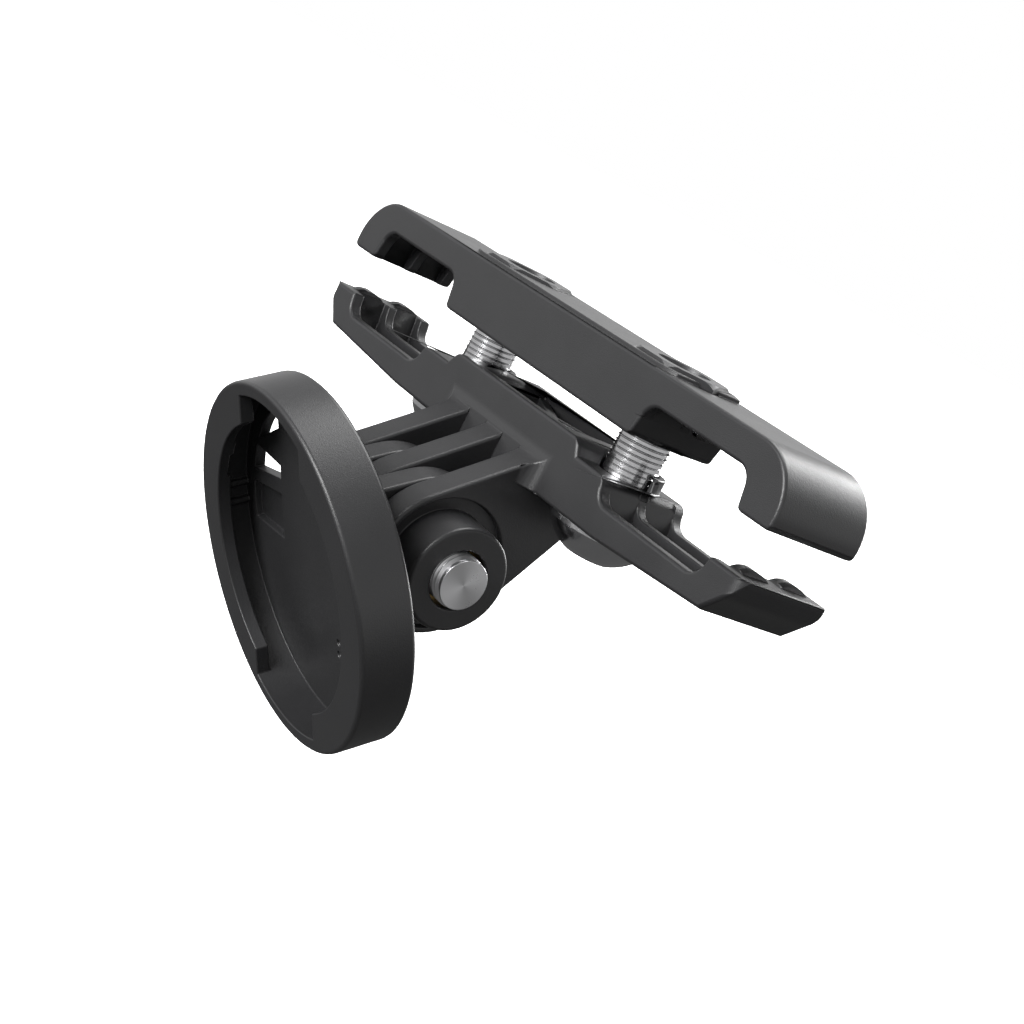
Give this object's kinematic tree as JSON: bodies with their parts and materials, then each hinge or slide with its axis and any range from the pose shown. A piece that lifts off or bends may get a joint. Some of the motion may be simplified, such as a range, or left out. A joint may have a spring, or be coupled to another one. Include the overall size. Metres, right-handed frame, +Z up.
{
  "type": "saddle rail mount",
  "caption": "Two-jaw clamp for a pair of saddle rails, closed by two long bolts, with a tilting round quarter-turn cradle on a three-prong hinge.",
  "frame": {"origin": "midway between the two saddle rails, at the height of their centre lines and the middle of the jaws' depth", "axes": "+X across the rails, +Y forward along the rails, +Z up; the cradle is on the -Y side, below"},
  "size_m": [0.0716, 0.0335, 0.0462],
  "materials": {
    "plastic": "satin moulded, dark grey",
    "steel": "bright turned",
    "brass": "plain"
  },
  "bodies": {
    "lower": {"lower_jaw": "plastic", "hinge_insert": "brass"},
    "upper": {"upper_jaw": "plastic", "clamp_nut_left": "steel", "clamp_nut_right": "steel"},
    "bolt_left": {"clamp_bolt_left": "steel"},
    "bolt_right": {"clamp_bolt_right": "steel"},
    "hinge_screw": {"hinge_bolt": "steel"},
    "cradle": {"cradle_ring": "plastic"}
  },
  "joints": [
    {"name": "clamp_bolt_left_turn", "type": "hinge", "parent": "lower", "child": "bolt_left", "pos_m": [-0.0129, 0, 0], "axis": [0, 0, 1], "range_deg": [0, 1728]},
    {"name": "clamp_bolt_right_turn", "type": "hinge", "parent": "lower", "child": "bolt_right", "pos_m": [0.0129, 0, 0], "axis": [0, 0, 1], "range_deg": [0, 1728]},
    {"name": "jaw_close", "type": "slide", "parent": "lower", "child": "upper", "axis": [0, 0, -1], "range_m": [0, 0.0024]},
    {"name": "cradle_tilt", "type": "hinge", "parent": "lower", "child": "cradle", "pos_m": [0, -0.0097, -0.0153], "axis": [1, 0, 0], "range_deg": [-60, 90]},
    {"name": "hinge_bolt_turn", "type": "hinge", "parent": "lower", "child": "hinge_screw", "pos_m": [0, -0.0097, -0.0153], "axis": [1, 0, 0], "range_deg": [-360, 0]}
  ],
  "couplings": [
    {"joint": "clamp_bolt_left_turn", "follows": "jaw_close", "rad_per_m": 12566},
    {"joint": "clamp_bolt_right_turn", "follows": "jaw_close", "rad_per_m": 12566}
  ]
}
